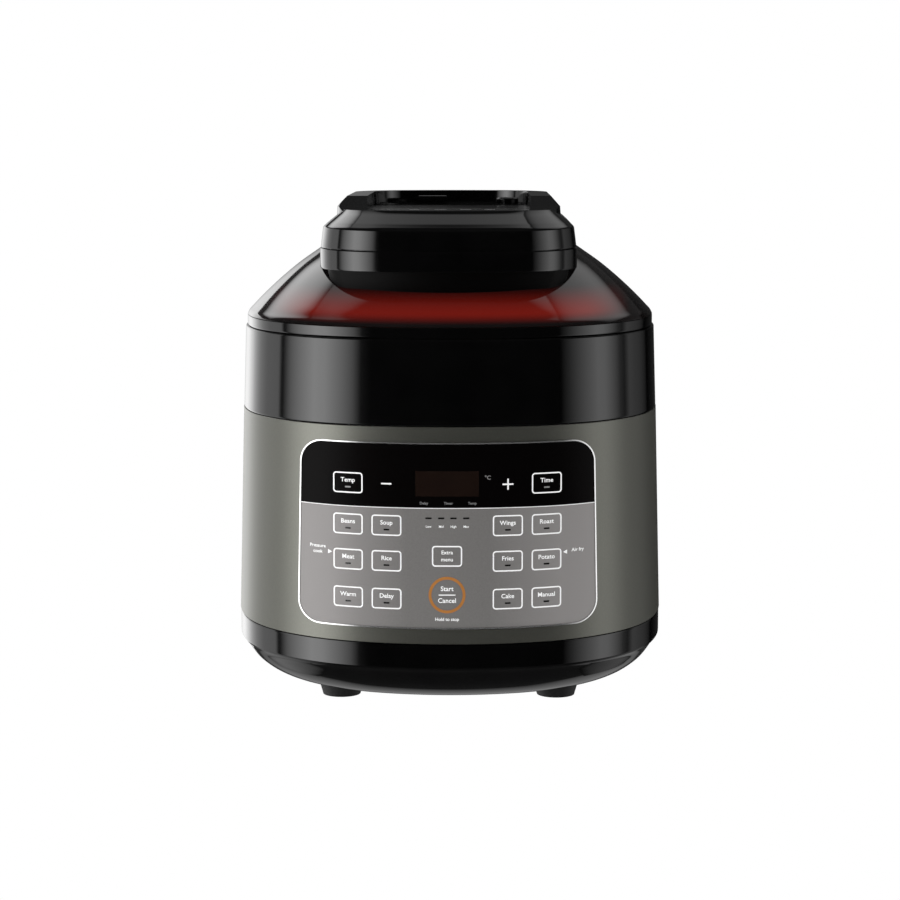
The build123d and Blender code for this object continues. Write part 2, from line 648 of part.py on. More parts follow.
def lid_handle():
    shoulder = HANDLE_TOP - HANDLE_CHAMFER
    outer = HANDLE_HALF_X
    inner = HANDLE_HALF_X - HANDLE_WIDTH
    body = loft([handle_plan(outer, HANDLE_BOTTOM), handle_plan(outer - 0.8, shoulder)], ruled=True)
    body += loft([handle_plan(outer - 0.8, shoulder), handle_plan(outer - HANDLE_CHAMFER, HANDLE_TOP)], ruled=True)
    hole = loft([handle_plan(inner, HANDLE_BOTTOM), handle_plan(inner + 1.5, HANDLE_TOP)], ruled=True)
    hole += block(-inner, inner, -HANDLE_HALF_Y - 1, -HANDLE_HALF_Y / 2, HANDLE_BOTTOM, HANDLE_TOP)
    above_ramp = Pos(0, RAMP_Y, RAMP_Z) * Rot(RAMP_SLOPE, 0, 0) * Pos(0, 0, 30) * Box(300, 400, 60)
    crown = head_block(((BAND_TOP, BAND_INSET), (DECK, DECK_INSET)))
    return body - hole - above_ramp - crown - top_panel_block(-TOP_PANEL_GAP)


def steam_valves():
    pipe = tube(3.5, 2, LINER_TOP - 6, 338, VALVE_X, VALVE_Y)
    save("vent_pipe", pipe + tube(6, 3.5, LINER_TOP, LINER_TOP + 3, VALVE_X, VALVE_Y))
    weight = disc(9, 330, 350, VALVE_X, VALVE_Y) - disc(3.9, 329, 338.4, VALVE_X, VALVE_Y)
    save("pressure_weight", weight)
    button = disc(9, 366, DECK + 4.5, VALVE_X, VALVE_Y)
    button = fillet(button.edges().group_by(Axis.Z)[-1], 1.5)
    save("release_button", button + disc(4, 358, 366, VALVE_X, VALVE_Y))
    shield = tube(9, 8, 300, LINER_TOP - 1.5, VALVE_X, VALVE_Y) + disc(9, 299, 300, VALVE_X, VALVE_Y)
    shield -= merge([block(VALVE_X - 12, VALVE_X + 12, VALVE_Y - 2, VALVE_Y + 2, 302, 309),
                     block(VALVE_X - 2, VALVE_X + 2, VALVE_Y - 12, VALVE_Y + 12, 302, 309)])
    save("valve_shield", shield)
    pin = disc(2.6, 303, DECK - 1, -VALVE_X, VALVE_Y) + disc(6.5, 302, 304, -VALVE_X, VALVE_Y)
    save("float_valve", pin)
    save("float_gasket", tube(5, 2.6, 304, 306, -VALVE_X, VALVE_Y))


# ---- write every node --------------------------------------------------------------------------
def main():
    save("base_shell", base_shell())
    save("bottom_cover", bottom_cover())
    for name, sides in FEET.items():
        save(name, foot(*sides))
    save("foot_screws", foot_screws())
    save("outer_wrap", outer_wrap())
    save("collar", collar())
    control_panel()
    save("power_inlet", power_inlet())
    save("heat_shield", heat_shield())
    save("lock_flange", lock_flange())
    save("heater_plate", heater_plate())
    save("heater_element", heater_element())
    sensor()
    save("inner_pot", inner_pot())
    save("crisper_basket", crisper_basket())
    save("power_board", power_board())
    save("board_standoffs", board_standoffs())
    save("hinge_bracket", hinge_bracket())
    save("hinge_pin", hinge_pin())
    save("hinge_springs", hinge_springs())
    save("condensation_cup", condensation_cup())
    save("cup_rails", cup_rails())
    save("lid_rim", lid_rim())
    save("lid_cover", lid_cover())
    save("lid_liner", lid_liner())
    save("sealing_gasket", sealing_gasket())
    save("lid_heater", lid_heater())
    save("heater_guard", heater_guard())
    fan()
    lock_parts()
    save("lid_frame", lid_frame())
    save("frame_screws", frame_screws())
    save("glow_ring", glow_ring())
    save("head_base", head_base())
    save("head_cap", head_cap())
    save("top_panel", top_panel_block(TOP_PANEL_GAP, DECK - 0.3))
    save("lid_handle", lid_handle())
    save("hinge_arm", hinge_arm())
    steam_valves()


main()
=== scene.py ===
import json
from math import atan2, ceil, cos, degrees, pi, radians, sin, sqrt
import bmesh
import bpy
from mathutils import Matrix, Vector

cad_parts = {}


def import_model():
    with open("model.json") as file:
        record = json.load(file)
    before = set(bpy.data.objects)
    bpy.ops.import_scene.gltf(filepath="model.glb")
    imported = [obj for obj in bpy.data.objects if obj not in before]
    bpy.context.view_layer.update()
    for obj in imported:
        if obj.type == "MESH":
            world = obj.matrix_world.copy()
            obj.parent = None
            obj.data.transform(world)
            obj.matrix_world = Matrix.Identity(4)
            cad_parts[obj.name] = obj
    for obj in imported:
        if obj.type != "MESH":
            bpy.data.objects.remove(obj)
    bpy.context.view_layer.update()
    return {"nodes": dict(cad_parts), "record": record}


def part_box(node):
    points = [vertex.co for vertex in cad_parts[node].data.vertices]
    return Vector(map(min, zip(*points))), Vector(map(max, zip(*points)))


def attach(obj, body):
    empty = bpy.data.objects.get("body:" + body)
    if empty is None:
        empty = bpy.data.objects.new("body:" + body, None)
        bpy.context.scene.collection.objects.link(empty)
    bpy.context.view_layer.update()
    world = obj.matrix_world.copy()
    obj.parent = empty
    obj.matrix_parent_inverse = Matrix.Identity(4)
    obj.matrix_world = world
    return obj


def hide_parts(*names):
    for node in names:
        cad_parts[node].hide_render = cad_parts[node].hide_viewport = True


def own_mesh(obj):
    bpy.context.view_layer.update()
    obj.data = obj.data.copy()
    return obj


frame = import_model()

MM = 0.001

# ---- driving sizes, millimetres, measured from the pot's axis and the floor ----------------------
FACE_ARC = 1.4
DIAGONAL = 1.045
BASE_TOP = 57.5
BASE_HALF = 167.2
WRAP_TOP = 218.8
WRAP_HALF_LOW = 167.6
WRAP_HALF_HIGH = 163.3
COLLAR_TOP = 282.6
COLLAR_HALF_LOW = 163.0
COLLAR_HALF_HIGH = 161.0
LID_BOTTOM = 282.9
LID_RIM_TOP = 291.2
LID_HALF = 159.6
SIDES = 256               # points round a plan outline
CUT_LIMIT = 32            # edges sharper than this stay sharp, in degrees

low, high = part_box("outer_wrap")
AXIS_Y = (low[1] + high[1]) / 2 / MM

# ---- materials -----------------------------------------------------------------------------------


def new_material(name):
    material = bpy.data.materials.new(name)
    material.use_nodes = True
    return material, material.node_tree.nodes["Principled BSDF"], material.node_tree


def texture_noise(tree, scale, detail=2.0, stretch=(1.0, 1.0, 1.0)):
    """Noise over the object's own coordinates, so that it stays on the piece."""
    place = tree.nodes.new("ShaderNodeTexCoord")
    mapping = tree.nodes.new("ShaderNodeMapping")
    mapping.inputs["Scale"].default_value = stretch
    noise = tree.nodes.new("ShaderNodeTexNoise")
    noise.inputs["Scale"].default_value = scale
    noise.inputs["Detail"].default_value = detail
    tree.links.new(place.outputs["Object"], mapping.inputs["Vector"])
    tree.links.new(mapping.outputs["Vector"], noise.inputs["Vector"])
    return noise


def spread(tree, source, low_value, high_value, target):
    """Maps a 0 to 1 source between two values and feeds it to target."""
    ranged = tree.nodes.new("ShaderNodeMapRange")
    ranged.inputs["To Min"].default_value = low_value
    ranged.inputs["To Max"].default_value = high_value
    tree.links.new(source, ranged.inputs["Value"])
    tree.links.new(ranged.outputs["Result"], target)


def tint(tree, source, dark, light, target):
    ramp = tree.nodes.new("ShaderNodeValToRGB")
    ramp.color_ramp.elements[0].color = (*dark, 1)
    ramp.color_ramp.elements[1].color = (*light, 1)
    ramp.color_ramp.elements[0].position = 0.3
    ramp.color_ramp.elements[1].position = 0.7
    tree.links.new(source, ramp.inputs["Fac"])
    tree.links.new(ramp.outputs["Color"], target)


def bump(tree, source, shader, strength, distance):
    node = tree.nodes.new("ShaderNodeBump")
    node.inputs["Strength"].default_value = strength
    node.inputs["Distance"].default_value = distance
    tree.links.new(source, node.inputs["Height"])
    tree.links.new(node.outputs["Normal"], shader.inputs["Normal"])


def gloss_plastic(name, dark, light, rough=(0.05, 0.09), coat=0.0):
    """Polished moulding: a deep colour and faint smears in its gloss."""
    material, shader, tree = new_material(name)
    smears = texture_noise(tree, 35, 3)
    tint(tree, smears.outputs["Fac"], dark, light, shader.inputs["Base Color"])
    spread(tree, smears.outputs["Fac"], rough[0], rough[1], shader.inputs["Roughness"])
    shader.inputs["IOR"].default_value = 1.5
    shader.inputs["Coat Weight"].default_value = coat
    shader.inputs["Coat Roughness"].default_value = 0.03
    return material


def grained_plastic(name, dark, light, rough=(0.5, 0.65), grain=900):
    material, shader, tree = new_material(name)
    noise = texture_noise(tree, grain, 2)
    tint(tree, noise.outputs["Fac"], dark, light, shader.inputs["Base Color"])
    spread(tree, noise.outputs["Fac"], rough[0], rough[1], shader.inputs["Roughness"])
    bump(tree, noise.outputs["Fac"], shader, 0.25, 0.0002)
    return material


def metal(name, dark, light, rough=(0.22, 0.34), grain=220, stretch=(1, 1, 14), strength=0.05):
    """Metal with fine streaks; stretch sets which way they run."""
    material, shader, tree = new_material(name)
    noise = texture_noise(tree, grain, 3, stretch)
    tint(tree, noise.outputs["Fac"], dark, light, shader.inputs["Base Color"])
    spread(tree, noise.outputs["Fac"], rough[0], rough[1], shader.inputs["Roughness"])
    bump(tree, noise.outputs["Fac"], shader, strength, 0.0002)
    shader.inputs["Metallic"].default_value = 1.0
    return material


BLACK = (0.0014, 0.0014, 0.0015)
BLACK_LIFT = (0.0024, 0.0024, 0.0025)
MATERIALS = {
    "black_gloss": gloss_plastic("black_gloss", BLACK, BLACK_LIFT),
    "black_matte": grained_plastic("black_matte", (0.012, 0.012, 0.012), (0.018, 0.018, 0.018)),
    "foot_rubber": grained_plastic("foot_rubber", (0.008, 0.008, 0.008), (0.014, 0.014, 0.014)),
    "wrap_metal": metal("wrap_metal", (0.118, 0.119, 0.102), (0.131, 0.132, 0.113), (0.34, 0.40), 700, (1, 1, 1)),
    "chrome_trim": metal("chrome_trim", (0.62, 0.62, 0.62), (0.70, 0.70, 0.70), (0.12, 0.18), 90, (1, 1, 1)),
    # The neck's own black, made darker and less reflective than the head's gloss black: painted shade under the head.
    "neck_black_painted_shade": grained_plastic("neck_black_painted_shade", (0.0010, 0.0009, 0.0009), (0.0016, 0.0015, 0.0015), (0.45, 0.55)),
    "smoked_cover": gloss_plastic("smoked_cover", (0.006, 0.005, 0.005), (0.008, 0.006, 0.006)),
    "circuit_board": grained_plastic("circuit_board", (0.010, 0.075, 0.030), (0.014, 0.11, 0.045)),
    "spring_steel": metal("spring_steel", (0.42, 0.42, 0.43), (0.55, 0.55, 0.56)),
    "stainless": metal("stainless", (0.50, 0.49, 0.47), (0.62, 0.61, 0.59), (0.2, 0.34), 160, (1, 1, 22), 0.08),
    "galvanised": metal("galvanised", (0.38, 0.39, 0.40), (0.52, 0.53, 0.55), (0.35, 0.5), 45, (1, 1, 1)),
    "cast_aluminium": metal("cast_aluminium", (0.42, 0.42, 0.43), (0.55, 0.55, 0.56), (0.4, 0.55), 400, (1, 1, 1), 0.2),
    "element_sheath": metal("element_sheath", (0.06, 0.05, 0.045), (0.14, 0.10, 0.08), (0.45, 0.6), 60, (1, 1, 1), 0.1),
    "nonstick": grained_plastic("nonstick", (0.014, 0.014, 0.015), (0.024, 0.024, 0.026), (0.32, 0.42), 1400),
    "silicone": grained_plastic("silicone", (0.55, 0.55, 0.53), (0.66, 0.66, 0.64), (0.45, 0.55), 300),
    "clear_cup": gloss_plastic("clear_cup", (0.10, 0.10, 0.105), (0.13, 0.13, 0.135), (0.08, 0.12)),
    "display": gloss_plastic("display", (0.010, 0.006, 0.005), (0.014, 0.008, 0.006)),
    "top_print": gloss_plastic("top_print", (0.006, 0.006, 0.006), (0.009, 0.009, 0.009), (0.12, 0.18)),
    "panel_black": grained_plastic("panel_black", (0.0018, 0.0014, 0.0014), (0.0026, 0.0020, 0.0020), (0.30, 0.36)),
    "panel_grey": grained_plastic("panel_grey", (0.205, 0.198, 0.192), (0.225, 0.218, 0.212), (0.34, 0.42)),
    "legend_white": gloss_plastic("legend_white", (0.90, 0.90, 0.90), (0.98, 0.98, 0.98), (0.3, 0.4)),
    "legend_orange": gloss_plastic("legend_orange", (0.50, 0.19, 0.035), (0.60, 0.24, 0.05), (0.3, 0.4)),
    "lamp_dark": gloss_plastic("lamp_dark", (0.004, 0.004, 0.004), (0.008, 0.008, 0.008), (0.2, 0.3)),
    "icon_grey": gloss_plastic("icon_grey", (0.28, 0.28, 0.28), (0.34, 0.34, 0.34), (0.3, 0.4)),
}


def glow_material(name, colour, strength):
    material, shader, tree = new_material(name)
    noise = texture_noise(tree, 60, 2)
    tint(tree, noise.outputs["Fac"], (0.25, 0.01, 0.004), (0.4, 0.02, 0.008), shader.inputs["Base Color"])
    shader.inputs["Emission Color"].default_value = (*colour, 1)
    shader.inputs["Emission Strength"].default_value = strength
    shader.inputs["Roughness"].default_value = 0.4
    return material


MATERIALS["red_glow"] = glow_material("red_glow", (1.0, 0.06, 0.015), 1.5)
MATERIALS["fascia"] = MATERIALS["panel_grey"]
for name, share in (("wrap_metal", 0.6), ("chrome_trim", 0.82)):
    MATERIALS[name].node_tree.nodes["Principled BSDF"].inputs["Metallic"].default_value = share
for name, level in (("panel_black", 0.03), ("panel_grey", 0.2), ("neck_black_painted_shade", 0.08), ("top_print", 0.3),
                    ("wrap_metal", 0.7)):
    MATERIALS[name].node_tree.nodes["Principled BSDF"].inputs["Specular IOR Level"].default_value = level

legend = MATERIALS["legend_white"].node_tree.nodes["Principled BSDF"]      # painted light: the white print glows faintly so that it reads bright
legend.inputs["Emission Color"].default_value = (1.0, 1.0, 1.0, 1)
legend.inputs["Emission Strength"].default_value = 0.3

slots = {part["node"]: part["material_slot"] for part in frame["record"]["subparts"]}
for node, obj in frame["nodes"].items():
    for number in range(max(1, len(obj.material_slots))):
        if not obj.material_slots:
            obj.data.materials.append(MATERIALS[slots[node]])
        else:
            obj.material_slots[number].material = MATERIALS[slots[node]]


# Where the painted glow fades out, in metres: away from the middle, upwards, and down to the cover's foot.
GLOW_ENDS = (0.100, 0.140)
GLOW_TOP = (0.300, 0.320)
GLOW_FOOT = (0.2925, 0.3012)


def painted_glow_on_cover():
    """Painted glow: a soft red band of emission low on the cover's front, painted by place on the cover: wide, with
    fading ends.
    """
    material = MATERIALS["smoked_cover"]
    tree = material.node_tree
    shader = tree.nodes["Principled BSDF"]
    place = tree.nodes.new("ShaderNodeTexCoord")
    split = tree.nodes.new("ShaderNodeSeparateXYZ")
    tree.links.new(place.outputs["Object"], split.inputs["Vector"])

    def ramp(source, stops):
        node = tree.nodes.new("ShaderNodeMapRange")
        node.interpolation_type = "SMOOTHSTEP"
        for key, value in zip(("From Min", "From Max", "To Min", "To Max"), stops):
            node.inputs[key].default_value = value
        tree.links.new(source, node.inputs["Value"])
        return node.outputs["Result"]

    def times(one, two):
        node = tree.nodes.new("ShaderNodeMath")
        node.operation = "MULTIPLY"
        tree.links.new(one, node.inputs[0])
        tree.links.new(two, node.inputs[1])
        return node.outputs["Value"]

    across = tree.nodes.new("ShaderNodeMath")
    across.operation = "ABSOLUTE"
    tree.links.new(split.outputs["X"], across.inputs[0])
    ends = ramp(across.outputs["Value"], (*GLOW_ENDS, 1.0, 0.0))
    top = ramp(split.outputs["Z"], (*GLOW_TOP, 1.0, 0.0))
    foot = ramp(split.outputs["Z"], (*GLOW_FOOT, 0.0, 1.0))
    front = ramp(split.outputs["Y"], (AXIS_Y * MM - 0.07, AXIS_Y * MM - 0.02, 1.0, 0.0))
    mask = times(times(times(ends, top), foot), front)
    spread(tree, mask, 0.0, 1.0, shader.inputs["Emission Strength"])
    shader.inputs["Emission Color"].default_value = (0.150, 0.0045, 0.0010, 1)


# the cover's red glow is painted light, emitted by the cover itself
painted_glow_on_cover()


def painted_side_highlight():
    """Painted highlight: the fascia's grey is painted paler towards its left and right ends, where the curved panel
    turns towards the side lights.
    """
    tree = MATERIALS["panel_grey"].node_tree
    shader = tree.nodes["Principled BSDF"]
    print_colour = shader.inputs["Base Color"].links[0].from_socket
    place = tree.nodes.new("ShaderNodeTexCoord")
    split = tree.nodes.new("ShaderNodeSeparateXYZ")
    across = tree.nodes.new("ShaderNodeMath")
    across.operation = "ABSOLUTE"
    share = tree.nodes.new("ShaderNodeMapRange")
    share.inputs["From Min"].default_value = 0.030
    share.inputs["From Max"].default_value = 0.085
    blend = tree.nodes.new("ShaderNodeMix")
    blend.data_type = "RGBA"
    blend.inputs["B"].default_value = (0.33, 0.315, 0.31, 1)
    tree.links.new(place.outputs["Object"], split.inputs["Vector"])
    tree.links.new(split.outputs["X"], across.inputs[0])
    tree.links.new(across.outputs["Value"], share.inputs["Value"])
    tree.links.new(share.outputs["Result"], blend.inputs["Factor"])
    tree.links.new(print_colour, blend.inputs["A"])
    tree.links.new(blend.outputs["Result"], shader.inputs["Base Color"])


# painted highlight on the fascia's grey ends
painted_side_highlight()

# ---- mesh helpers ------------------------------------------------------------------------------


def plan_radius(half, angle, circle_until=0.0, plan_from=1.0):
    """Distance from the axis to the body's plan outline of that half-width, in that direction."""
    side_radius = FACE_ARC * half
    side_shift = side_radius - half
    reach = side_radius - DIAGONAL * half
    corner = (reach**2 - side_shift**2) / (2 * side_shift - 2 * sqrt(2) * reach)
    corner_radius = DIAGONAL * half - sqrt(2) * corner
    limit = atan2(corner, corner + side_shift)
    turn = (angle + pi / 4) % (pi / 2) - pi / 4
    radius = -side_shift * cos(turn) + sqrt(side_radius**2 - (side_shift * sin(turn))**2)
    seen = abs(atan2(radius * sin(turn), radius * cos(turn) + side_shift))
    if seen > limit:
        off = pi / 4 - abs(turn)
        far = sqrt(2) * corner
        radius = far * cos(off) + sqrt(corner_radius**2 - (far * sin(off))**2)
    share = min(1.0, max(0.0, (half - circle_until) / (plan_from - circle_until)))
    return half + share * (radius - half)


def front_y(x, half):
    """Where the front of the body's plan lies at that x."""
    side_radius = FACE_ARC * half
    side_shift = side_radius - half
    reach = side_radius - DIAGONAL * half
    corner = (reach**2 - side_shift**2) / (2 * side_shift - 2 * sqrt(2) * reach)
    corner_radius = DIAGONAL * half - sqrt(2) * corner
    limit = side_radius * corner / (side_radius - corner_radius)
    if abs(x) <= limit:
        return side_shift - sqrt(side_radius**2 - x**2)
    return -corner - sqrt(corner_radius**2 - (abs(x) - corner)**2)


def mesh_object(name, points, faces, material, smooth=True):
    mesh = bpy.data.meshes.new(name)
    mesh.from_pydata([(x * MM, (y + AXIS_Y) * MM, z * MM) for x, y, z in points], [], faces)
    mesh.update()
    obj = bpy.data.objects.new(name, mesh)
    bpy.context.scene.collection.objects.link(obj)
    mesh.polygons.foreach_set("use_smooth", [smooth] * len(mesh.polygons))
    mesh.materials.append(MATERIALS[material])
    return obj


def wrap_half(z):
    share = (z - BASE_TOP) / (WRAP_TOP - BASE_TOP)
    return WRAP_HALF_LOW + share * (WRAP_HALF_HIGH - WRAP_HALF_LOW)


def panel_point(x, z, lift):
    return x, front_y(x, wrap_half(z) + lift), z


# ---- smooth shells round the body's plan ---------------------------------------------------------
# Height and half-width of the bowl and of the domed cover.
BOWL = ((8.5, 118.0), (10.5, 129.5), (13.0, 138.0), (16.0, 144.7), (20.0, 150.9), (25.0, 156.7),
        (30.0, 160.6), (35.0, 163.9), (38.0, 166.7))
COVER = ((291.2, 159.6), (294.2, 158.0), (297.2, 155.2), (303.2, 149.5), (311.2, 141.3),
         (321.2, 130.2), (331.2, 117.9), (341.2, 103.6), (346.0, 96.5))
WALL = 3.0
WELL_RADIUS = 133.0
WELL_BOTTOM = 246.0


def flowing(points, steps=5):
    """A smooth line through the points (Catmull-Rom)."""
    line = []
    last = len(points) - 1
    for k in range(last):
        p0, p1, p2, p3 = (points[min(max(k + i, 0), last)] for i in (-1, 0, 1, 2))
        for n in range(steps):
            t = n / steps
            line.append(tuple(0.5 * (2 * b + (c - a) * t + (2 * a - 5 * b + 4 * c - d) * t**2
                                     + (3 * b - a - 3 * c + d) * t**3)
                              for a, b, c, d in zip(p0, p1, p2, p3)))
    return line + [points[last]]


def steadied(loops, closed):
    """Adds loops close to both ends of each tall face, so that its shading stays flat."""
    line, count = [], len(loops)
    for row, loop in enumerate(loops):
        line.append(loop)
        if row == count - 1 and not closed:
            break
        after = loops[(row + 1) % count]
        reach = max((Vector(a) - Vector(b)).length for a, b in zip(loop, after))
        if reach > 4:
            for share in (0.7 / reach, 1 - 0.7 / reach):
                line.append([tuple(Vector(a).lerp(Vector(b), share)) for a, b in zip(loop, after)])
    return line


def skin(name, loops, material, limit=35):
    """A closed skin through loops of points; the last loop joins back to the first."""
    loops = steadied(loops, True)
    sides, count = len(loops[0]), len(loops)
    points = [point for loop in loops for point in loop]
    faces = []
    for row in range(count):
        after = (row + 1) % count
        for k in range(sides):
            n = (k + 1) % sides
            faces.append((row * sides + k, row * sides + n, after * sides + n, after * sides + k))
    obj = mesh_object(name, points, faces, material)
    keep_edges(obj, limit)
    return obj


def swept(name, outline, material, circle_until=0.0, plan_from=1.0):
    """A closed skin: the outline of height and half-width, carried round the body's plan."""
    loops = []
    for z, half in outline:
        turns = [2 * pi * k / SIDES for k in range(SIDES)]
        reach = [plan_radius(half, turn, circle_until, plan_from) for turn in turns]
        loops.append([(r * cos(turn), r * sin(turn), z) for r, turn in zip(reach, turns)])
    return skin(name, loops, material)


def keep_edges(obj, limit):
    """Shades the mesh smooth except across edges sharper than limit, in degrees."""
    mesh = obj.data
    work = bmesh.new()
    work.from_mesh(mesh)
    bmesh.ops.recalc_face_normals(work, faces=work.faces)
    for edge in work.edges:
        if len(edge.link_faces) == 2:
            edge.smooth = edge.calc_face_angle(0) < radians(limit)
    work.to_mesh(mesh)
    work.free()


def place(obj, body, slot, *nodes):
    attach(obj, body)
    if nodes:
        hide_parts(*nodes)


def cut(obj, *cutters):
    """Cuts the shapes out of obj and leaves a plain mesh."""
    for cutter in cutters:
        change = obj.modifiers.new("cut", "BOOLEAN")
        change.operation = "DIFFERENCE"
        change.solver = "EXACT"
        change.object = cutter
    graph = bpy.context.evaluated_depsgraph_get()
    mesh = bpy.data.meshes.new_from_object(obj.evaluated_get(graph))
    obj.modifiers.clear()
    obj.data = mesh
    keep_edges(obj, CUT_LIMIT)
    for cutter in cutters:
        old = cutter.data
        bpy.data.objects.remove(cutter)
        bpy.data.meshes.remove(old)


def solid(name, loops, material="black_gloss"):
    """A capped solid through loops of points."""
    loops = steadied(loops, False)
    sides = len(loops[0])
    points = [point for loop in loops for point in loop]
    faces = [tuple(reversed(range(sides))), tuple(range((len(loops) - 1) * sides, len(loops) * sides))]
    for row in range(len(loops) - 1):
        for k in range(sides):
            n = (k + 1) % sides
            faces.append((row * sides + k, row * sides + n, (row + 1) * sides + n, (row + 1) * sides + k))
    obj = mesh_object(name, points, faces, material)
    keep_edges(obj, CUT_LIMIT)
    return obj


def box_points(x0, x1, y0, y1, z):
    return [(x0, y0, z), (x1, y0, z), (x1, y1, z), (x0, y1, z)]


SOCKET_Z = 95.0
SOCKET_HALF_X = 14.0
SOCKET_HALF_Z = 10.5


def body_shells():
    bowl = flowing(BOWL)
    gap = 0.25
    top = BASE_TOP - gap
    outline = [(8.5, 93.0)] + bowl + [(38.6, 167.1), (39.6, BASE_HALF)]
    outline += [(top - 0.8, BASE_HALF), (top - 0.2, BASE_HALF - 0.2), (top, BASE_HALF - 0.8), (top, BASE_HALF - WALL)]
    outline += [(40.0, BASE_HALF - WALL)] + [(z + 5, half - WALL) for z, half in reversed(BOWL[:-1])]
    outline += [(13.5, 86.0), (11.0, 86.0), (11.0, 93.0)]
    place(swept("base_bowl", outline, "black_gloss", 93.0, 118.0), "root", "black_gloss", "base_shell")

    low, high, wall = BASE_TOP + gap, WRAP_TOP - gap, 1.2
    outline = [(low, WRAP_HALF_LOW - wall), (low, WRAP_HALF_LOW - 0.4), (low + 0.4, WRAP_HALF_LOW)]
    outline += [(high - 0.4, WRAP_HALF_HIGH), (high, WRAP_HALF_HIGH - 0.4), (high, WRAP_HALF_HIGH - wall)]
    wrap = swept("metal_wrap", outline, "wrap_metal")
    levels = (SOCKET_Z - SOCKET_HALF_Z, SOCKET_Z + SOCKET_HALF_Z)
    cut(wrap, solid("socket_hole", [box_points(-SOCKET_HALF_X, SOCKET_HALF_X, 120.0, 200.0, z) for z in levels]))
    place(wrap, "root", "wrap_metal", "outer_wrap")

    low, high = WRAP_TOP + gap, COLLAR_TOP
    outline = [(low, COLLAR_HALF_LOW - WALL), (low, COLLAR_HALF_LOW - 0.7), (low + 0.2, COLLAR_HALF_LOW - 0.2),
               (low + 0.8, COLLAR_HALF_LOW), (high - 1.0, COLLAR_HALF_HIGH),
               (high - 0.3, COLLAR_HALF_HIGH - 0.3), (high, COLLAR_HALF_HIGH - 1.0), (high, 150.0),
               (high, WELL_RADIUS + 1.0), (high - 0.3, WELL_RADIUS + 0.3), (high - 1.0, WELL_RADIUS),
               (WELL_BOTTOM, WELL_RADIUS), (WELL_BOTTOM, WELL_RADIUS + 2.5), (high - WALL, WELL_RADIUS + 2.5),
               (high - WALL, 150.0), (high - WALL, COLLAR_HALF_HIGH - WALL)]
    place(swept("collar_ring", outline, "black_gloss", 136.0, 150.0), "root", "black_gloss", "collar")

    low, high = LID_BOTTOM, LID_RIM_TOP
    outline = [(low, 131.0), (low, 150.0), (low, LID_HALF - 1.0), (low + 0.3, LID_HALF - 0.3), (low + 1.0, LID_HALF),
               (high - 0.9, LID_HALF), (high - 0.45, LID_HALF - 0.12), (high - 0.3, LID_HALF - 0.6),
               (high - 0.3, LID_HALF - WALL), (low + 2.5, LID_HALF - WALL), (low + 2.5, 150.0), (low + 2.5, 131.0)]
    place(swept("lid_band", outline, "black_gloss", 131.0, 150.0), "lid", "black_gloss", "lid_rim")

    dome = flowing(COVER)
    dome[0] = (LID_RIM_TOP - 0.25, LID_HALF - 0.6)
    dome.insert(1, (LID_RIM_TOP + 0.25, LID_HALF - 0.15))
    outline = dome + [(z, half - WALL) for z, half in reversed(COVER)]
    place(swept("domed_cover", outline, "smoked_cover"), "lid", "smoked_cover", "lid_cover")


body_shells()


def sensor_coil():
    coil = bpy.data.objects.new("sensor_coil", frame["nodes"]["sensor_spring"].data.copy())
    bpy.context.scene.collection.objects.link(coil)
    place(coil, "root", "spring_steel", "sensor_spring")
    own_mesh(coil)


sensor_coil()

# ---- head on top of the lid ----------------------------------------------------------------------
HEAD_HALF_X = 97.3
HEAD_HALF_Y = 145.0
HEAD_ARC = 220.0
HEAD_CORNER = 62.0
NECK_ARC = 150.0
NECK_CORNER = 26.0
NECK_DEPTH_SHARE = 0.6
HEAD_BOTTOM = 330.4
# Height and inset of the neck, from its foot inside the cover up to the lower tier.
NECK = ((305.0, 24.0), (309.0, 19.0), (313.0, 15.0), (317.0, 11.5), (323.0, 8.5), (HEAD_BOTTOM, 6.5))
TIER_SEAM = 345.9
LIP_INSET = 4.4           # the lower tier's lip, which locates the upper one
LIP_TOP = 351.8
LIP_WIDTH = 2.5
BAND_TOP = 362.0
BAND_INSET = 2.4
DECK = 375.0
DECK_INSET = 18.5
PANEL_DEPTH = 1.6         # how deep the top panel is let into the deck
TOP_PANEL_HALF = 60.8
TOP_PANEL_FRONT = 124.5
TOP_PANEL_ARC = 200.0
TOP_PANEL_CORNER = 40.0
TOP_PANEL_BACK = 22.0
VALVE_X = 46.0
VALVE_Y = 64.0
BUTTON_HOLE = 9.4
PIN_HOLE = 3.2
SLIDER_X = 88 * cos(radians(100))
SLIDER_Y = 88 * sin(radians(100))
SLOT_BEFORE, SLOT_AFTER, SLOT_HALF = 10.0, 50.0, 5.4
HOLE_HEIGHTS = (360, 380)
VENT_ROWS, VENT_LOW, VENT_PITCH, VENT_TALL, VENT_HALF = 4, 346, 4, 2, 40


def console(half_x, half_y, arc, corner, z, step=4):
    """Points round the head's plan: gently curved front and back, tangent corners, straight sides."""
    turn = atan2((half_x - corner), sqrt((arc - corner)**2 - (half_x - corner)**2))
    shift = arc - half_y
    corner_x = half_x - corner
    corner_y = (arc - corner) * cos(turn) - shift
    quarter = []
    for n in range(12):
        a = turn * n / 12
        quarter.append((arc * sin(a), shift - arc * cos(a)))
    for n in range(17):
        a = turn + (pi / 2 - turn) * n / 16
        quarter.append((corner_x + corner * sin(a), -corner_y - corner * cos(a)))
    for n in range(1, step + 1):
        quarter.append((half_x, -corner_y * (1 - n / step)))
    back = [(x, -y) for x, y in reversed(quarter[:-1])]
    half = quarter + back
    loop = half + [(-x, y) for x, y in reversed(half[1:-1])]
    return [(x, y, z) for x, y in loop]


def head_plan(inset, z):
    return console(HEAD_HALF_X - inset, HEAD_HALF_Y - inset, HEAD_ARC - inset, HEAD_CORNER - inset, z)


def neck_plan(inset, z, inward=0.0):
    half_y = HEAD_HALF_Y - NECK_DEPTH_SHARE * inset - inward
    return console(HEAD_HALF_X - inset - inward, half_y, NECK_ARC - inward, NECK_CORNER - inward, z)


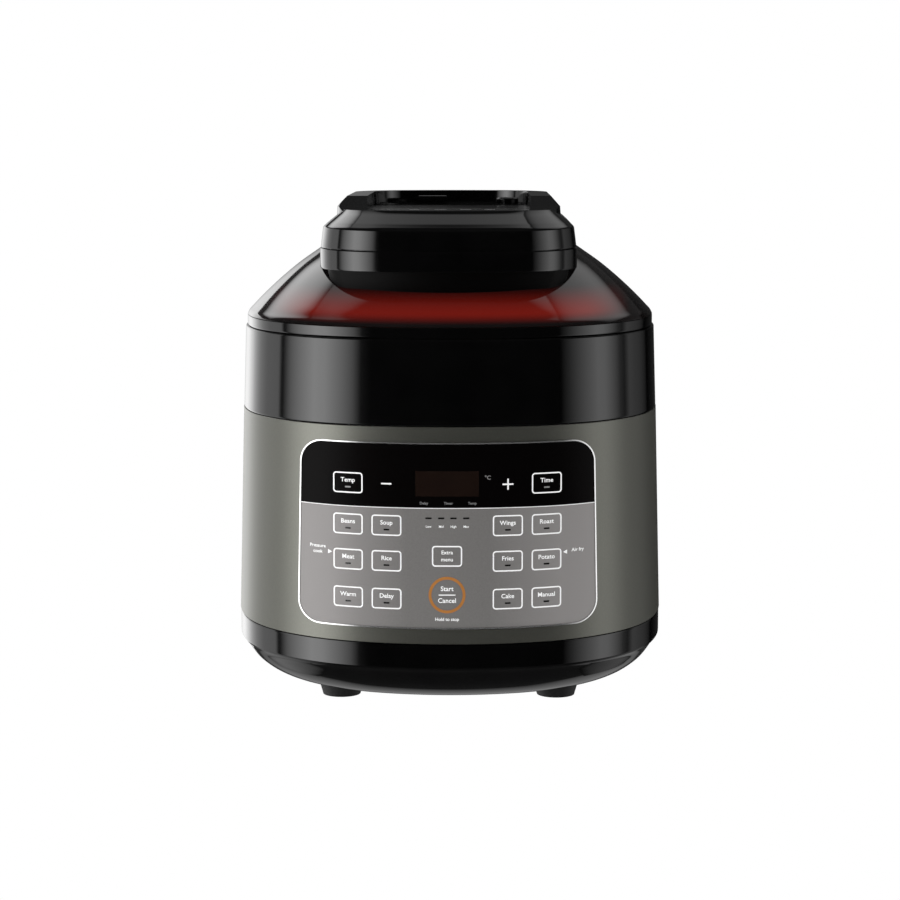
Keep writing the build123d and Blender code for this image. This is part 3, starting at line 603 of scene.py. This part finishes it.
def ring_points(radius, x, y, z, sides=48):
    return [(x + radius * cos(2 * pi * k / sides), y + radius * sin(2 * pi * k / sides), z) for k in range(sides)]


def top_panel_loop(inset, z):
    loop = console(TOP_PANEL_HALF - inset, TOP_PANEL_FRONT - inset, TOP_PANEL_ARC - inset,
                   TOP_PANEL_CORNER - inset, z)
    return [(x, min(y, TOP_PANEL_BACK - inset), z) for x, y, z in loop]


def head():
    gap, wall = 0.25, 3.0
    neck = flowing(NECK, 3)
    inset_at_foot = NECK[-1][1]
    loops = [neck_plan(inset, z) for z, inset in neck] + [neck_plan(inset_at_foot, HEAD_BOTTOM + wall)]
    loops += [neck_plan(inset_at_foot, HEAD_BOTTOM + wall, wall)]
    loops += [neck_plan(inset, z, wall) for z, inset in reversed(neck)]
    # the neck wears the darker, duller black: painted shade under the head
    place(skin("head_neck", loops, "neck_black_painted_shade"), "lid", "black_gloss", "head_base")
    loops = [neck_plan(inset_at_foot, HEAD_BOTTOM + wall, -0.05), neck_plan(inset_at_foot, HEAD_BOTTOM, -0.05)]
    loops += [head_plan(0.8, HEAD_BOTTOM), head_plan(0.2, HEAD_BOTTOM + 0.2), head_plan(0.0, HEAD_BOTTOM + 0.8)]
    top = TIER_SEAM - gap
    loops += [head_plan(0.0, top - 0.7), head_plan(0.2, top - 0.2), head_plan(0.7, top), head_plan(LIP_INSET, top)]
    inner = LIP_INSET + LIP_WIDTH
    loops += [head_plan(LIP_INSET, LIP_TOP), head_plan(inner, LIP_TOP), head_plan(inner, HEAD_BOTTOM + wall)]
    place(skin("head_tier", loops, "black_gloss"), "lid", "black_gloss")

    low = TIER_SEAM + gap
    loops = [head_plan(1.1, low), head_plan(0.65, low + 0.15), head_plan(0.5, low + 0.6)]
    loops += [head_plan(1.4, 354.0), head_plan(2.25, BAND_TOP - 1.2), head_plan(2.5, BAND_TOP - 0.45),
              head_plan(3.0, BAND_TOP + 0.25), head_plan(3.9, BAND_TOP + 0.95)]
    for share in (0.2, 0.3, 0.45, 0.6, 0.75, 0.87):
        inset = BAND_INSET + (DECK_INSET - BAND_INSET) * share
        loops.append(head_plan(inset, BAND_TOP + (DECK - BAND_TOP) * share))
    loops += [head_plan(17.6, DECK - 0.35), head_plan(18.6, DECK - 0.12), head_plan(20.0, DECK)]
    shell = solid("head_crown", loops + [head_plan(30.0, DECK)])
    hollow = solid("hollow", [head_plan(3.2, TIER_SEAM - 5), head_plan(5.4, BAND_TOP - 2), head_plan(21.5, DECK - 3)])
    cutters = [hollow]
    cutters.append(solid("recess", [top_panel_loop(0, DECK - PANEL_DEPTH), top_panel_loop(0, DECK + 2)]))
    cutters.append(solid("button_hole", [ring_points(BUTTON_HOLE, VALVE_X, VALVE_Y, z) for z in HOLE_HEIGHTS]))
    cutters.append(solid("pin_hole", [ring_points(PIN_HOLE, -VALVE_X, VALVE_Y, z) for z in HOLE_HEIGHTS]))
    slot = (SLIDER_X - SLOT_BEFORE, SLIDER_X + SLOT_AFTER, SLIDER_Y - SLOT_HALF, SLIDER_Y + SLOT_HALF)
    cutters.append(solid("slider_slot", [box_points(*slot, z) for z in HOLE_HEIGHTS]))
    for row in range(VENT_ROWS):
        z = VENT_LOW + row * VENT_PITCH
        cutters.append(solid("vent", [box_points(-VENT_HALF, VENT_HALF, 128, 150, level)
                                      for level in (z, z + VENT_TALL)]))
    cut(shell, *cutters)
    place(shell, "lid", "black_gloss", "head_cap")


head()

# ---- control panel ----------------------------------------------------------------------------
PANEL_HALF = 109.6
PANEL_LOW = 69.2
PANEL_HIGH = 207.1
PANEL_CORNER = 17.0
TRIM_WIDTH = 0.95
TRIM_PROUD = 0.88
PANEL_FLARE = 0.026       # how much wider the panel is at its foot, as a share
FASCIA_PROUD = 0.4
ZONE_LINE = 158.9         # where the black upper zone ends
INK = 0.09                # thickness of the printed legends
KEY_SIZE = (22.2, 15.4)
KEY_STROKE = 0.95
KEY_COLUMNS = (-73.4, -44.7, 44.7, 73.4)
KEY_ROWS = (176.3, 145.7, 119.3, 91.2)
DISPLAY_Z = 177.0


def flared(x, z):
    return x * (1 + PANEL_FLARE * (PANEL_HIGH - z) / (PANEL_HIGH - PANEL_LOW))


def surface_sheet(name, columns, bounds_at, material, low_lift, high_lift, rows=8):
    """A slab lying on the wrap: columns of x, each from a low to a high z, with a front and a back."""
    points, faces = [], []
    for lift in (high_lift, low_lift):
        for x in columns:
            z0, z1 = bounds_at(x)
            heights = [z0 + (z1 - z0) * n / rows for n in range(rows + 1)]
            points += [panel_point(flared(x, z), z, lift) for z in heights]
    width, tall = len(columns), rows + 1
    back = width * tall
    for i in range(width - 1):
        for j in range(rows):
            a = i * tall + j
            quad = (a, a + tall, a + tall + 1, a + 1)
            faces.append(quad)
            faces.append(tuple(back + v for v in reversed(quad)))
    rim = [i * tall for i in range(width)] + [(width - 1) * tall + j for j in range(1, tall)]
    rim += [i * tall + rows for i in range(width - 2, -1, -1)] + list(range(rows - 1, 0, -1))
    for a, b in zip(rim, rim[1:] + rim[:1]):
        faces.append((a, back + a, back + b, b))
    obj = mesh_object(name, points, faces, material)
    keep_edges(obj, 35)
    return obj


def fascia():
    half = PANEL_HALF - TRIM_WIDTH
    low, high = PANEL_LOW + TRIM_WIDTH, PANEL_HIGH - TRIM_WIDTH
    corner = PANEL_CORNER - TRIM_WIDTH
    bend = [half - corner + corner * sin(pi / 2 * n / 10) for n in range(11)]
    flat = [(half - corner) * n / 40 for n in range(-39, 40)]
    columns = [-x for x in reversed(bend)] + flat + bend
    columns[0], columns[-1] = -half + 0.01, half - 0.01

    def rise(x):
        over = max(0.0, abs(x) - (half - corner))
        return corner - sqrt(max(0.0, corner**2 - over**2))

    black = surface_sheet("fascia_black", columns, lambda x: (ZONE_LINE + 0.25, high - rise(x)), "panel_black",
                          0.02, FASCIA_PROUD)
    grey = surface_sheet("fascia_grey", columns, lambda x: (low + rise(x), ZONE_LINE - 0.25), "panel_grey",
                         0.02, FASCIA_PROUD, 12)
    line = surface_sheet("fascia_line", columns, lambda x: (ZONE_LINE - 0.25, ZONE_LINE + 0.25), "legend_white",
                         0.02, FASCIA_PROUD - 0.02, 1)
    place(black, "root", "fascia", "panel_fascia")
    place(grey, "root", "fascia")
    place(line, "root", "fascia")


def rounded_loop(width, tall, corner, steps=6):
    loop = []
    for side_x, side_z, start in ((1, 1, 0), (-1, 1, 90), (-1, -1, 180), (1, -1, 270)):
        for n in range(steps + 1):
            turn = radians(start + 90 * n / steps)
            loop.append((side_x * (width / 2 - corner) + corner * cos(turn),
                         side_z * (tall / 2 - corner) + corner * sin(turn)))
    line = []
    for (x0, z0), (x1, z1) in zip(loop, loop[1:] + loop[:1]):
        parts = max(1, ceil((max(abs(x1 - x0), abs(z1 - z0) / 3) - 0.05) / 3))
        line += [(x0 + (x1 - x0) * n / parts, z0 + (z1 - z0) * n / parts) for n in range(parts)]
    return line


class Print:
    """Collects flat shapes for one printed layer and wraps them onto the panel as one mesh."""

    def __init__(self, to_surface=None, lift=FASCIA_PROUD):
        self.points, self.faces = [], []
        self.to_surface = to_surface or (lambda x, z, up: panel_point(x, z, lift + up))

    def band(self, outer, inner, x, z):
        """A ring between two loops of the same number of points."""
        start, count = len(self.points), len(outer)
        for up in (INK, 0.0):
            for loop in (outer, inner):
                self.points += [self.to_surface(x + dx, z + dz, up) for dx, dz in loop]
        for k in range(count):
            n = (k + 1) % count
            o, i, ob, ib = (start + part * count for part in range(4))
            self.faces += [(o + k, o + n, i + n, i + k), (ob + n, ob + k, ib + k, ib + n),
                           (o + n, o + k, ob + k, ob + n), (i + k, i + n, ib + n, ib + k)]

    def patch(self, loop, x, z):
        """A filled shape."""
        start, count = len(self.points), len(loop)
        for up in (INK, 0.0):
            self.points += [self.to_surface(x + dx, z + dz, up) for dx, dz in loop]
        self.faces.append(tuple(range(start, start + count)))
        self.faces.append(tuple(range(start + 2 * count - 1, start + count - 1, -1)))
        for k in range(count):
            n = (k + 1) % count
            self.faces.append((start + n, start + k, start + count + k, start + count + n))

    def bar(self, width, tall, x, z):
        self.patch(rounded_loop(width, tall, min(width, tall) * 0.3, 3), x, z)

    def words(self, text, size, x, z, most=None):
        """Plain lettering, centred, no wider than most."""
        curve = bpy.data.curves.new("words", "FONT")
        curve.body = text
        curve.align_x = "CENTER"
        curve.align_y = "CENTER"
        curve.extrude = 0.05
        curve.offset = 0.014
        curve.size = 1.0
        curve.resolution_u = 3
        holder = bpy.data.objects.new("words", curve)
        bpy.context.scene.collection.objects.link(holder)
        bpy.context.view_layer.update()
        mesh = bpy.data.meshes.new_from_object(holder.evaluated_get(bpy.context.evaluated_depsgraph_get()))
        wide = max(v.co.x for v in mesh.vertices) - min(v.co.x for v in mesh.vertices)
        scale = min(size, most / wide) if most else size
        start = len(self.points)
        self.points += [self.to_surface(x + v.co.x * scale, z + v.co.y * size, INK if v.co.z > 0 else 0.0)
                        for v in mesh.vertices]
        self.faces += [tuple(start + v for v in face.vertices) for face in mesh.polygons]
        bpy.data.objects.remove(holder)
        bpy.data.curves.remove(curve)
        bpy.data.meshes.remove(mesh)

    def finish(self, name, material, body, slot):
        obj = mesh_object(name, self.points, self.faces, material, smooth=False)
        place(obj, body, slot)
        return obj


KEY_WORDS = (("Temp", None, None, "Time"), ("Beans", "Soup", "Wings", "Roast"),
             ("Meat", "Rice", "Fries", "Potato"), ("Warm", "Delay", "Cake", "Manual"))
KEY_TEXT = 4.6
START_Z = 94.7
EXTRA_Z = 123.5
RING_RADIUS = 13.6
RING_STROKE = 2.1


def legends():
    white, dark, orange, dim = Print(), Print(), Print(), Print()
    outer = rounded_loop(*KEY_SIZE, 2.4)
    inner = rounded_loop(KEY_SIZE[0] - 2 * KEY_STROKE, KEY_SIZE[1] - 2 * KEY_STROKE, 1.5)
    for z, row in zip(KEY_ROWS, KEY_WORDS):
        for x, word in zip(KEY_COLUMNS, row):
            if word is None:
                continue
            white.band(outer, inner, x, z)
            white.words(word, KEY_TEXT, x, z + 1.9, KEY_SIZE[0] - 5)
            lamp = dim if z == KEY_ROWS[0] else dark
            lamp.bar(4.2, 1.2, x, z - 3.2)
    white.bar(7.6, 1.1, KEY_COLUMNS[1], KEY_ROWS[0] + 0.2)
    white.bar(8.2, 1.1, KEY_COLUMNS[2], KEY_ROWS[0])
    white.bar(1.1, 3.5, KEY_COLUMNS[2], KEY_ROWS[0] + 2.35)
    white.bar(1.1, 3.5, KEY_COLUMNS[2], KEY_ROWS[0] - 2.35)
    dim.words("\u00b0C", 4.2, 29.8, 181.3)
    for x, word in ((-17.0, "Delay"), (1.0, "Timer"), (18.5, "Temp")):
        dim.words(word, 2.7, x, 162.6)
    for x, word in ((-13.6, "Low"), (-4.3, "Mid"), (4.7, "High"), (14.0, "Max")):
        dark.bar(4.6, 1.2, x, 151.6)
        white.words(word, 2.4, x, 145.4)
    white.band(outer, inner, 0, EXTRA_Z)
    white.words("Extra", 4.0, 0, EXTRA_Z + 2.7)
    white.words("menu", 4.0, 0, EXTRA_Z - 2.5)
    circle = [(cos(2 * pi * k / 64), sin(2 * pi * k / 64)) for k in range(64)]
    orange.band([(RING_RADIUS * a, RING_RADIUS * b) for a, b in circle],
                [((RING_RADIUS - RING_STROKE) * a, (RING_RADIUS - RING_STROKE) * b) for a, b in circle], 0, START_Z)
    white.words("Start", 4.9, 0, START_Z + 4.5)
    white.words("Cancel", 4.9, 0, START_Z - 4.3)
    white.bar(12.5, 0.7, 0, START_Z)
    white.words("Hold to stop", 3.4, 0, 76.5)
    white.words("Pressure", 3.5, -96.5, 127.6, 14.6)
    white.words("cook", 3.5, -96.5, 123.4)
    white.words("Air fry", 3.5, 96.8, 125.0, 12.6)
    white.patch([(-1.4, 1.6), (-1.4, -1.6), (1.6, 0.0)], -87.2, 124.0)
    white.patch([(1.4, -1.6), (1.4, 1.6), (-1.6, 0.0)], 87.4, 124.0)
    white.finish("legends", "legend_white", "root", "fascia")
    dark.finish("key_lamps", "lamp_dark", "root", "fascia")
    dim.finish("dim_legends", "icon_grey", "root", "fascia")
    orange.finish("start_ring", "legend_orange", "root", "fascia")
    window = Print()
    wide, tall = 46.6, 18.6
    for column in range(16):
        x0 = -wide / 2 + wide * column / 16
        window.patch([(0, -tall / 2), (wide / 16, -tall / 2), (wide / 16, tall / 2), (0, tall / 2)], x0, DISPLAY_Z)
    window.finish("display_window", "display", "root", "display")


def trim():
    middle = (PANEL_LOW + PANEL_HIGH) / 2
    size = (2 * PANEL_HALF, PANEL_HIGH - PANEL_LOW)
    inner = (size[0] - 2 * TRIM_WIDTH, size[1] - 2 * TRIM_WIDTH)
    ring = Print(lambda x, z, up: panel_point(flared(x, z), z, TRIM_PROUD if up else 0.02))
    ring.band(rounded_loop(*size, PANEL_CORNER, 12), rounded_loop(*inner, PANEL_CORNER - TRIM_WIDTH, 12), 0, middle)
    bright = mesh_object("bright_trim", ring.points, ring.faces, "chrome_trim")
    keep_edges(bright, 35)
    place(bright, "root", "chrome_trim", "panel_trim")


fascia()
trim()
legends()

# ---- print on the top panel ------------------------------------------------------------------------


def top_icons():
    """Small grey cooking symbols in a row behind the panel's front edge."""
    print_layer = Print(lambda x, y, up: (x, y, DECK - 0.3 + up))
    circle = [(cos(2 * pi * k / 32), sin(2 * pi * k / 32)) for k in range(32)]

    def ring(x, y, outer, inner, flat=1.0):
        print_layer.band([(outer * a, outer * b * flat) for a, b in circle],
                         [(inner * a, inner * b * flat) for a, b in circle], x, y)

    row = -92.0
    ring(-45.0, row, 1.1, 0.5)
    ring(-25.5, row + 0.4, 3.6, 3.0, 0.8)
    print_layer.bar(8.6, 0.8, -25.5, row - 3.6)
    for shift in (-2.0, 0.0, 2.0):
        print_layer.bar(0.7, 3.0, -25.5 + shift, row + 5.4)
    ring(-6.5, row, 4.2, 3.5, 0.62)
    print_layer.bar(1.8, 1.2, -2.0, row)
    for shift in (-1.6, 0.2):
        print_layer.bar(0.6, 2.6, -6.5 + shift, row)
    print_layer.band(rounded_loop(8, 6.4, 1.2), rounded_loop(6.8, 5.2, 0.8), 13.0, row)
    for shift in (-1.8, 0.0, 1.8):
        print_layer.bar(0.7, 3.2, 13.0 + shift, row)
    print_layer.band(rounded_loop(8, 6.4, 1.2), rounded_loop(6.8, 5.2, 0.8), 31.0, row)
    ring(31.0, row, 1.7, 1.1)
    print_layer.bar(104.0, 0.5, 0.0, row + 10.0)
    print_layer.finish("top_icons", "icon_grey", "lid", "top_print")


top_icons()


# ---- the studio --------------------------------------------------------------------------------
EYE_DISTANCE = 1.933
EYE_ELEVATION = radians(7.57)
EYE_AZIMUTH = radians(0.75)
LENS = 96.7
TARGET_Z = 0.1802


def camera():
    data = bpy.data.cameras.new("camera")
    data.lens = LENS
    data.sensor_width = 36
    eye = bpy.data.objects.new("camera", data)
    target = Vector((0, AXIS_Y * MM, TARGET_Z))
    flat = EYE_DISTANCE * cos(EYE_ELEVATION)
    eye.location = target + Vector((flat * sin(EYE_AZIMUTH), -flat * cos(EYE_AZIMUTH),
                                    EYE_DISTANCE * sin(EYE_ELEVATION)))
    eye.rotation_euler = (target - eye.location).to_track_quat("-Z", "Y").to_euler()
    bpy.context.scene.collection.objects.link(eye)
    bpy.context.scene.camera = eye


def emitter(name, points, faces, levels):
    """A glowing sheet, with a level at each point, that only reflections and shading see."""
    mesh = bpy.data.meshes.new(name)
    mesh.from_pydata(points, [], faces)
    layer = mesh.color_attributes.new("level", "FLOAT_COLOR", "POINT")
    for k, level in enumerate(levels):
        layer.data[k].color = (level, level, level, 1)
    sheet = bpy.data.objects.new(name, mesh)
    bpy.context.scene.collection.objects.link(sheet)
    material = bpy.data.materials.new(name)
    material.use_nodes = True
    tree = material.node_tree
    tree.nodes.clear()
    output = tree.nodes.new("ShaderNodeOutputMaterial")
    glow = tree.nodes.new("ShaderNodeEmission")
    value = tree.nodes.new("ShaderNodeVertexColor")
    value.layer_name = "level"
    tree.links.new(value.outputs["Color"], glow.inputs["Color"])
    tree.links.new(glow.outputs["Emission"], output.inputs["Surface"])
    mesh.materials.append(material)
    sheet.visible_camera = False
    sheet.visible_shadow = False


def light_wall():
    """A round studio wall of soft panels. Each stop is an azimuth from the front, left negative."""
    stops = ((-180, 0.05), (-168, 0.3), (-160, 1.2), (-150, 2.0), (-138, 2.0), (-130, 1.5), (-122, 1.1),
             (-112, 0.9), (-98, 1.15), (-95, 0.1), (-93, 0.1), (-90, 0.6), (-86, 1.4), (-74, 3.3), (-66, 4.6),
             (-58, 4.4), (-46, 2.6), (-39, 1.4), (-34, 0.1), (-30, 0.0), (0, 0.0), (50, 0.0), (56, 0.35),
             (68, 1.25), (78, 1.9), (84, 1.7), (92, 0.9), (99, 0.25), (104, 0.1), (110, 0.4), (118, 0.25),
             (132, 0.08), (140, 0.0), (180, 0.05))
    radius, bottom, top, steps = 1.35, -0.38, 0.62, 360
    points, faces, levels = [], [], []
    for k in range(steps):
        azimuth = -180 + 360 * k / steps
        for (a0, v0), (a1, v1) in zip(stops, stops[1:]):
            if a0 <= azimuth <= a1:
                levels.append(v0 + (v1 - v0) * (azimuth - a0) / (a1 - a0))
                break
        turn = radians(azimuth)
        points += [(radius * sin(turn), -radius * cos(turn), bottom), (radius * sin(turn), -radius * cos(turn), top)]
    for k in range(steps):
        a, b = 2 * k, 2 * ((k + 1) % steps)
        faces.append((a, b, b + 1, a + 1))
    emitter("light_wall", points, faces, [level for level in levels for _ in range(2)])


def floor():
    mesh = bpy.data.meshes.new("floor")
    size = 90.0
    mesh.from_pydata([(-size, -size, 0), (size, -size, 0), (size, size, 0), (-size, size, 0)], [], [(0, 1, 2, 3)])
    obj = bpy.data.objects.new("floor", mesh)
    bpy.context.scene.collection.objects.link(obj)
    material, shader, tree = new_material("floor")
    shader.inputs["Base Color"].default_value = (0.0, 0.0, 0.0, 1)
    shader.inputs["Roughness"].default_value = 1.0
    shader.inputs["Specular IOR Level"].default_value = 0.0
    shader.inputs["Emission Color"].default_value = (1, 1, 1, 1)
    shader.inputs["Emission Strength"].default_value = 1.0
    mesh.materials.append(material)
    obj.visible_glossy = False


def world():
    """White to the eye, nearly dark to reflections, a soft grey for everything else."""
    scene_world = bpy.data.worlds.new("studio")
    bpy.context.scene.world = scene_world
    scene_world.use_nodes = True
    tree = scene_world.node_tree
    tree.nodes.clear()
    output = tree.nodes.new("ShaderNodeOutputWorld")
    path = tree.nodes.new("ShaderNodeLightPath")
    levels = {"seen": 1.0, "mirrored": 0.05, "soft": 0.55}
    shades = {}
    for key, level in levels.items():
        shades[key] = tree.nodes.new("ShaderNodeBackground")
        shades[key].inputs["Color"].default_value = (level, level, level, 1)
    inner = tree.nodes.new("ShaderNodeMixShader")
    outer = tree.nodes.new("ShaderNodeMixShader")
    tree.links.new(path.outputs["Is Glossy Ray"], inner.inputs["Fac"])
    tree.links.new(shades["soft"].outputs["Background"], inner.inputs[1])
    tree.links.new(shades["mirrored"].outputs["Background"], inner.inputs[2])
    tree.links.new(path.outputs["Is Camera Ray"], outer.inputs["Fac"])
    tree.links.new(inner.outputs["Shader"], outer.inputs[1])
    tree.links.new(shades["seen"].outputs["Background"], outer.inputs[2])
    tree.links.new(outer.outputs["Shader"], output.inputs["Surface"])


def soft_panel(name, azimuth, elevation, width, height, level, distance=1.6):
    """A soft light panel facing the head; azimuth is from the front, left negative."""
    aim = Vector((0, AXIS_Y * MM, 0.31))
    turn, rise = radians(azimuth), radians(elevation)
    way = Vector((sin(turn) * cos(rise), -cos(turn) * cos(rise), sin(rise)))
    across = way.cross(Vector((0, 0, 1))).normalized()
    up = across.cross(way).normalized()
    middle = aim + way * distance
    half_wide = distance * sin(radians(width / 2))
    half_tall = distance * sin(radians(height / 2))
    steps = 12
    points, faces, levels = [], [], []
    for i in range(steps + 1):
        for j in range(steps + 1):
            u, v = 2 * i / steps - 1, 2 * j / steps - 1
            points.append(middle + across * half_wide * u + up * half_tall * v)
            soft = (1 - abs(u)**4) * (1 - abs(v)**4)
            levels.append(level * soft)
    for i in range(steps):
        for j in range(steps):
            a = i * (steps + 1) + j
            faces.append((a, a + 1, a + steps + 2, a + steps + 1))
    emitter(name, points, faces, levels)


camera()
light_wall()
floor()
world()
soft_panel("rear_left_light", -139, 35, 40, 34, 2.5)
soft_panel("rear_right_light", 128, 44, 64, 42, 0.85)
soft_panel("top_light", 180, 65, 110, 56, 1.15)
soft_panel("low_left_light", -105, -40, 70, 44, 0.8)
soft_panel("low_right_light", 110, -40, 60, 40, 0.35)
soft_panel("low_rear_light", 180, -52, 110, 40, 0.45)
bpy.context.scene.view_settings.view_transform = "Standard"
